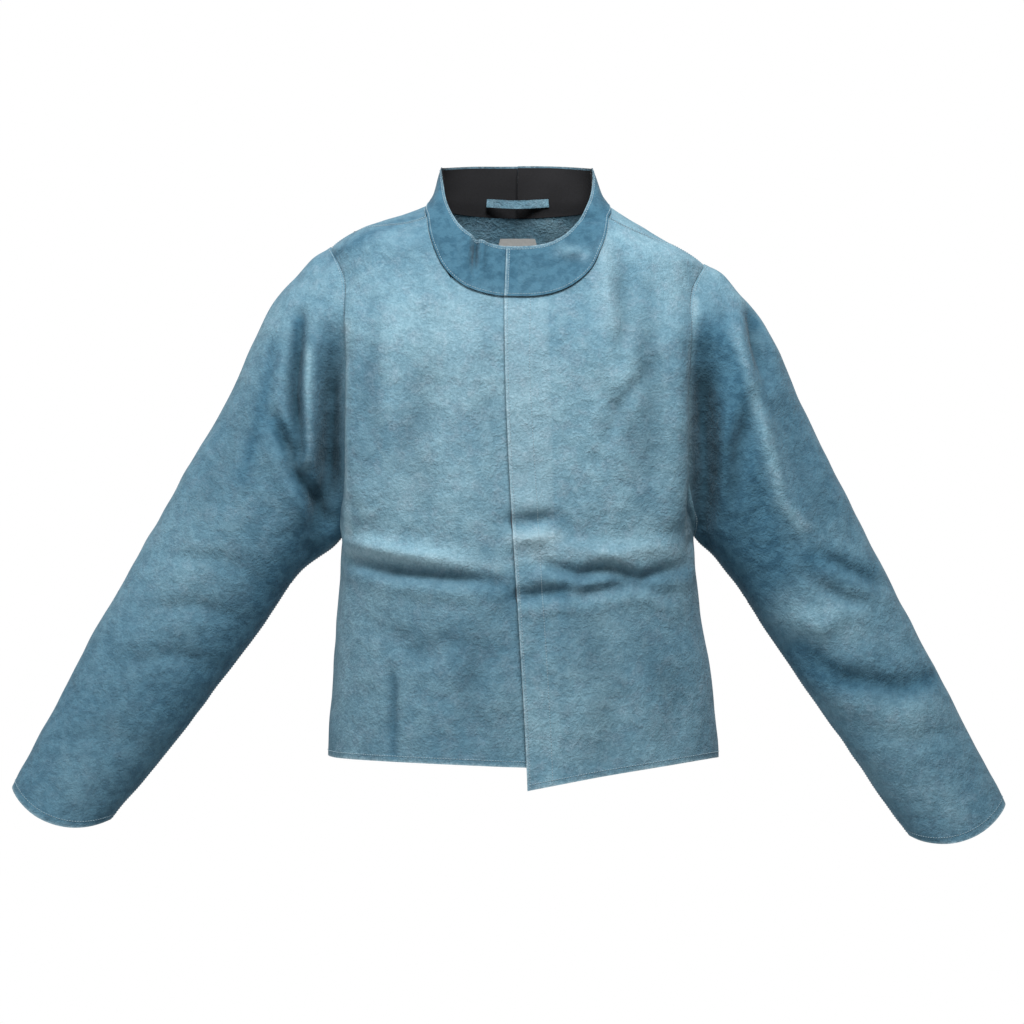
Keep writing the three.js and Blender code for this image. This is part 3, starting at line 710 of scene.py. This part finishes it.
def plain_material(name, low, high, scale, roughness, bump=0.4):
    material, tree, shader, place = new_material(name)
    grain = cloud(place, scale, 3.0, 0.6)
    feed(tree, tint(grain, low, high), shader, "Base Color")
    feed(tree, roughness + 0.1 * grain, shader, "Roughness")
    sockets = {"Strength": bump, "Distance": 0.0006, "Height": grain}
    feed(tree, place.node("Bump", None, sockets), shader, "Normal")
    return material


thread = plain_material("sewing_thread", (0.24, 0.35, 0.41), (0.36, 0.48, 0.54), 900, 0.7)
MATERIALS = {"leather": leather}
HEM_DROP = {"left": 38, "right": 8}
UNDERLAP = 45
UNDER_SINK = 6.8
LAP_CLEAR, LAP_RAMP, LAP_SEAM = 6, 38, 31
FRONT_COLUMNS, ROWS, NECK_SHARE = 120, 200, 0.55


def left_edge(z):
    return mix(-16, 13, smooth(-z / BODY_LENGTH - 0.2))


def opening_edge(side, z):
    return left_edge(z) if side == "left" else -left_edge(z) - UNDERLAP


def hem_height(side, angle):
    x = torso(angle, -BODY_LENGTH + 0 * angle)[..., 0]
    return -BODY_LENGTH - HEM_DROP[side] * np.clip(1 - x / HEM_HALF_WIDTH, 0, None) ** 1.3


def lap(side, points):
    """Sinks the right side under the left one near the opening."""
    if side == "right":
        ramp = smooth((points[..., 0] + left_edge(points[..., 2]) - LAP_CLEAR) / LAP_RAMP)
        points[..., 1] += UNDER_SINK * (1 - ramp)
    return points


places = np.linspace(-0.6, 0.6, 2401)
neck_points = torso(*neckline(places))
edge_place = {}
for side in SIDES:
    off_edge = np.abs(neck_points[:, 0] - opening_edge(side, neck_points[:, 2]))
    edge_place[side] = float(places[np.argmin(off_edge)])


def front_points(side):
    u, v = np.meshgrid(np.linspace(0, 1, FRONT_COLUMNS), np.linspace(0, 1, ROWS), indexing="ij")
    hem_side = float(hem_height(side, np.array(0.0)))
    neck_z = float(neckline(edge_place[side])[1])
    low_edge = front_angle_at(opening_edge(side, -BODY_LENGTH), -BODY_LENGTH)

    def opening(v):
        z = mix(hem_height(side, low_edge), neck_z, v)
        return front_angle_at(opening_edge(side, z), z), z

    def hem(u):
        angle = mix(opening(0 * u)[0], 0, u)
        return angle, hem_height(side, angle)

    def top(u):
        neck = neckline(mix(edge_place[side], SEAM_AT_NECK, np.clip(u / NECK_SHARE, 0, 1)))
        seam = shoulder_seam(np.clip((u - NECK_SHARE) / (1 - NECK_SHARE), 0, 1))
        return [np.where(u < NECK_SHARE, neck[i], seam[i]) for i in range(2)]

    points = torso(*patch(u, v, opening, lambda v: side_border(v, hem_side, -1), hem, top))
    # By the armhole the panel stands proud of the seam, and throws a shadow on the sleeve.
    from_seam = run_along(points[::-1])[::-1]
    z = points[..., 2]
    proud = 1.8 + 7 * smooth((-z - 90) / 80) * smooth((z + 412) / 40)
    points += normals_of(points) * (proud * smooth(from_seam / 7) * smooth((95 - from_seam) / 70))[..., None]
    return lap(side, points)


fronts = {}
for side in SIDES:
    shaped, out, look = dressed(front_points(side), side, ["first", "low"])
    fronts[side] = (shaped, out, look)
    # Painted shade along the side seam, the armhole, the neckline and the shoulder seam.
    look["dent"] = np.maximum(look["dent"], EDGE_SHADE * edge_wear(shaped, ["last", "high"], 2.2))
    parts = [side + "_front_" + part for part in ("opening_panel", "fold_strip", "side_panel")]
    seams = [("first", 3.6), ("low", 7), ("last", 3.0), ("high", 3.0)]
    seams += [("first", LAP_SEAM)] if side == "left" else []
    panel(side + "_front", shaped, out, look, parts, move_front, side, seams)

# Facings and hook-and-loop tape behind the opening. The loop tape looks inwards from the left facing, and the
# hook tape outwards from the right front, under the lap.
MATERIALS["tape"] = plain_material("woven_tape", (0.30, 0.20, 0.19), (0.46, 0.33, 0.31), 700, 0.85, 0.9)
TAPE, FACING_INSET, LOOP_TAPE_INSET, HOOK_TAPE_INSET = 1.2, 1.6, 3.2, -1.5
for side, tape_name, tape_inset in [("left", "loop", LOOP_TAPE_INSET), ("right", "hook", HOOK_TAPE_INSET)]:
    shaped, out, look = fronts[side]
    strip = slice(0, 24)
    plain = {key: 0 * values[strip] for key, values in look.items()}
    panel(side + "_facing", shaped[strip], out[strip], plain, [side + "_front_facing"], move_front,
          side, inset=FACING_INSET)
    strip, rows = slice(0, 12), slice(14, None)
    panel(side + "_" + tape_name + "_tape", shaped[strip, rows], out[strip, rows], {},
          [side + "_front_" + tape_name + "_tape"], move_front, side, inset=tape_inset, thickness=TAPE,
          slot="tape")

# Collar. A leather band that leans in from the neckline, higher at the back, with a dark lining whose
# near-black colour is also painted shade inside the collar. Each half is sewn to the other at the middle of
# the back, and its front end is stiff enough to stand by itself.
COLLAR_TOP_HALF_WIDTH, COLLAR_TOP_FRONT, COLLAR_TOP_BACK = 92, 82, 60
COLLAR_FRONT_HEIGHT, COLLAR_SIDE_HEIGHT, COLLAR_BACK_HEIGHT = 59, 45, 64
COLLAR_TONE, COLLAR_SHADE = 0.92, 0.2
SEAM_GAP = 0.6
LINING, LINING_INSET, COLLAR_LOOP_TAPE_INSET = 0.8, 3.2, 3.3
# Near-black lining: a dark cloth, painted darker still as the shade inside the collar.
MATERIALS["lining"] = plain_material("lining_cloth_and_painted_shade", (0.004, 0.004, 0.005), (0.016, 0.016, 0.019), 500, 0.85)


def collar_band(place, share):
    inside = [1 - SEAM_GAP / NECK_HALF_WIDTH, 1 - SEAM_GAP / NECK_BACK, 1]
    low = torso(*neckline(place)) * inside + [0, 0, SEAM_GAP]
    behind = low[..., 1] > 0
    reach = np.where(behind, back_depth(NECK_BACK_DROP), front_depth(NECK_FRONT_DROP))
    across, along = rounded(np.arctan2(low[..., 1] / reach, low[..., 0] / NECK_HALF_WIDTH), 2.6)
    ahead = np.abs(along)
    top_end = np.where(behind, COLLAR_BACK_HEIGHT - NECK_BACK_DROP, COLLAR_FRONT_HEIGHT - NECK_FRONT_DROP)
    top = mix(COLLAR_SIDE_HEIGHT, top_end, ahead ** np.where(behind, 2, 1.2))
    high = [COLLAR_TOP_HALF_WIDTH * across, along * np.where(behind, COLLAR_TOP_BACK, COLLAR_TOP_FRONT), top]
    return low + (np.stack(high, -1) - low) * share[..., None]


COLLAR_COLUMNS, COLLAR_ROWS = 170, 32
u, v = np.meshgrid(np.linspace(0, 1, COLLAR_COLUMNS), np.linspace(-0.07, 1, COLLAR_ROWS), indexing="ij")
for side in SIDES:
    bare = lap(side, collar_band(mix(edge_place[side], 2, u), v))
    bare += normals_of(bare) * (0.4 + 2.4 * smooth((0.3 - v) / 0.36))[..., None]
    shaped, out, look = dressed(bare, side, ["first", "high"], COLLAR_TONE)
    # Painted shade laid over the whole collar.
    look["dent"] = np.maximum(look["dent"], COLLAR_SHADE)
    parts = [side + "_collar_" + part for part in ("front", "fold_strip", "back")]
    seams = [("first", 4), ("low", 3), ("high", 4)]
    panel(side + "_collar", shaped, out, look, parts, move_front, side, seams)
    parts = [side + "_collar_lining_" + part for part in ("front", "fold_strip", "back")]
    panel(side + "_collar_lining", shaped[:, 2:-1], out[:, 2:-1], {}, parts, move_front, side,
          inset=LINING_INSET, thickness=LINING, slot="lining")
    tape_name, inset = ("loop", COLLAR_LOOP_TAPE_INSET) if side == "left" else ("hook", HOOK_TAPE_INSET)
    parts = [side + "_collar_" + tape_name + "_tape"]
    panel(side + "_collar_" + tape_name + "_tape", shaped[:14, 6:20], out[:14, 6:20], {}, parts,
          move_front, side, inset=inset, thickness=TAPE, slot="tape")

# Back. One hide from side seam to side seam, brought over the shoulders to seams a little in front of them,
# and sewn there and down the sides to the fronts. It hangs on the torso and stays still.
BACK_COLUMNS, SEAM_SHARE, BACK_SPAN = 200, 0.27, 4 - 2 * SEAM_AT_NECK
u, v = np.meshgrid(np.linspace(0, 1, BACK_COLUMNS), np.linspace(0, 1, ROWS), indexing="ij")


def move_body(piece, side):
    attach(piece, "torso")


def back_side(v):
    return side_border(v, -BODY_LENGTH, 1)


def back_top(u):
    along_neck = (np.clip(u, SEAM_SHARE, 1 - SEAM_SHARE) - SEAM_SHARE) / (1 - 2 * SEAM_SHARE)
    place = SEAM_AT_NECK + along_neck * BACK_SPAN
    near, far = neckline(place), neckline(4 - place)
    neck = np.where(place <= 2, near[0], np.pi - far[0]), np.where(place <= 2, near[1], far[1])
    seam = shoulder_seam(np.clip(1 - np.minimum(u, 1 - u) / SEAM_SHARE, 0, 1))
    on_seam = np.minimum(u, 1 - u) < SEAM_SHARE
    angle = np.where(on_seam, np.where(u < 0.5, seam[0], np.pi - seam[0]), neck[0])
    return angle, np.where(on_seam, seam[1], neck[1])


def far_side(v):
    angle, z = back_side(v)
    return np.pi - angle, z


bare = torso(*patch(u, v, back_side, far_side, lambda u: (np.pi * u, -BODY_LENGTH + 0 * u), back_top))
shaped, out, look = dressed(bare, "left", ["low"])
# Painted shade along the side seams, the armholes, the shoulder seams and the neckline.
look["dent"] = np.maximum(look["dent"], EDGE_SHADE * edge_wear(shaped, ["first", "last", "high"], 2.2))
seams = [("low", 7), ("high", 3), ("first", 3), ("last", 3)]
panel("back_panel_leather", shaped, out, look, ["back_panel"], move_body, "left", seams)

# Sleeves. Each is a top and an under panel, joined below the arm and behind it, in an upper part and a
# lower part, split across the sleeve above the elbow.
RING_HEIGHT, RING_DEPTH = ARMHOLE_HEIGHT - 2 * SEAM_GAP, 2 * ARMHOLE_HALF_DEPTH - 2 * SEAM_GAP
UPPER_SLEEVE_WIDTH, ELBOW_WIDTH, CUFF_WIDTH = 183, 166, 126
UPPER_SLEEVE_DEPTH, ELBOW_DEPTH, CUFF_DEPTH = 128, 110, 90
UPPER_EASE, ELBOW_EASE = 1.16, 1.03
CUFF_FRONT_CURVE, CUFF_BACK_CURVE = 23, 8
SLEEVE_PLACES = [0, 0.1, 0.37, 0.57, 1]
sleeve_widths = [RING_HEIGHT, RING_HEIGHT * 0.95, UPPER_SLEEVE_WIDTH * UPPER_EASE, ELBOW_WIDTH * ELBOW_EASE]
sleeve_width = profile(SLEEVE_PLACES, sleeve_widths + [CUFF_WIDTH])
sleeve_depths = [RING_DEPTH, RING_DEPTH * 0.97, UPPER_SLEEVE_DEPTH, ELBOW_DEPTH, CUFF_DEPTH]
sleeve_depth = profile(SLEEVE_PLACES, sleeve_depths)
sleeve_turn = profile(SLEEVE_PLACES, [0, 0.14, 0.475, 0.82, 1.24])
sleeve_squareness = profile(SLEEVE_PLACES, [2.5, 2.4, 2.2, 2.1, 2.1])
sleeve_out = profile(SLEEVE_PLACES, [0, 0.085, 0.295, 0.505, 1])
sleeve_down = profile(SLEEVE_PLACES, [0, 0.04, 0.258, 0.487, 1])
SLEEVE_OUT, SLEEVE_DOWN = 326, 508
HEAD_RISE, HEAD_FALL = 8, 19
middle = float(half_width(CHEST))


def sleeve_point(place, angle):
    up, along = rounded(angle, sleeve_squareness(place))
    turn = sleeve_turn(place)
    centre = [middle + SLEEVE_OUT * sleeve_out(place), along * sleeve_depth(place) / 2,
              -SHOULDER_DROP - ARMHOLE_HEIGHT / 2 - SLEEVE_DOWN * sleeve_down(place)]
    across = up * sleeve_width(place) / 2
    cuff_curve = np.where(along < 0, CUFF_FRONT_CURVE, CUFF_BACK_CURVE)
    curve = cuff_curve * along ** 2 * smooth((place - 0.67) / 0.33)
    root = torso(*armhole(angle))[..., 0] - middle
    x = centre[0] + np.sin(turn) * across + np.cos(turn) * curve + root * (1 - smooth(place / 0.25))
    head = HEAD_RISE - HEAD_FALL * smooth(place / 0.1)
    head = head * (1 - smooth((place - 0.06) / 0.24)) * np.clip(up, 0, 1) ** 2
    z = centre[2] + np.cos(turn) * across - np.sin(turn) * curve + head
    return np.stack([x, centre[1] + 0 * x, z], -1)


def move_upper_sleeve(piece, side):
    side + "_upper_sleeve"
    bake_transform(piece)


def move_forearm(piece, side):
    side + "_upper_sleeve"
    side + "_forearm"
    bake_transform(piece)


SLEEVE_ROWS, SLEEVE_SPLIT = 240, 100
REAR_SEAM = np.pi * 5 / 8
for side in SIDES:
    for name, first, last, columns in [("top", -np.pi, REAR_SEAM, 105), ("under", REAR_SEAM, np.pi, 28)]:
        u, v = np.meshgrid(np.linspace(0, 1, SLEEVE_ROWS), np.linspace(first, last, columns), indexing="ij")
        # Painted shade along the underside of the sleeve, fading towards the cuff.
        underside_shade = 0.34 * smooth(0.1 - rounded(v, 2.2)[0]) * (1 - 0.5 * u)
        shaped, out, look = dressed(sleeve_point(u, v), side, ["last"], underside_shade)
        for part, rows, seams, move, zones in [
            ("upper", slice(0, SLEEVE_SPLIT + 1), [("first", 4)], move_upper_sleeve, ("cap", "upper")),
            ("lower", slice(SLEEVE_SPLIT, None), [("last", 9)], move_forearm, ("elbow", "forearm")),
        ]:
            parts = [side + "_sleeve_" + name + "_" + zone for zone in zones]
            part_look = {key: values[rows] for key, values in look.items()}
            panel_name = "_".join([side, "sleeve", name, part, "leather"])
            panel(panel_name, shaped[rows], out[rows], part_look, parts, move, side,
                  seams + [("high", 3.0)])

# Small pieces inside the back of the neck: a hanger loop of leather sewn on at both ends, which stands off
# the collar's lining in the middle, and a blank size label of woven cloth sewn on all round.
across_u, up_v = np.meshgrid(np.linspace(-0.2, 0.2, 41), np.linspace(0.2, 0.36, 5), indexing="ij")
left_half = collar_band(2 - np.abs(across_u), up_v)
bare = left_half * np.stack([np.where(across_u > 0, -1, 1), 1 + 0 * across_u, 1 + 0 * across_u], -1)
LOOP, LOOP_STAND, LOOP_INSET = 1.2, 9, 3.6
stand = LOOP_INSET + LOOP_STAND * np.sin(np.pi * (across_u / 0.4 + 0.5)) ** 2
out = normals_of(bare)
panel("hanger_loop_leather", bare - out * stand[..., None], out, {}, ["hanger_loop"], move_body,
      "left", thickness=LOOP)
LABEL, LABEL_INSET = 0.5, 3.4
MATERIALS["label"] = plain_material("label_cloth", (0.52, 0.52, 0.50), (0.70, 0.70, 0.68), 300, 0.8)
across_u, up_v = np.meshgrid(np.linspace(-0.12, 0.12, 25), np.linspace(-70, -35, 12), indexing="ij")
bare = torso(QUARTER + across_u, up_v)
panel("size_label_cloth", bare, normals_of(bare), {}, ["size_label"], move_body, "left",
      [("first", 1.5), ("last", 1.5), ("low", 1.5), ("high", 1.5)], inset=LABEL_INSET, thickness=LABEL,
      slot="label")
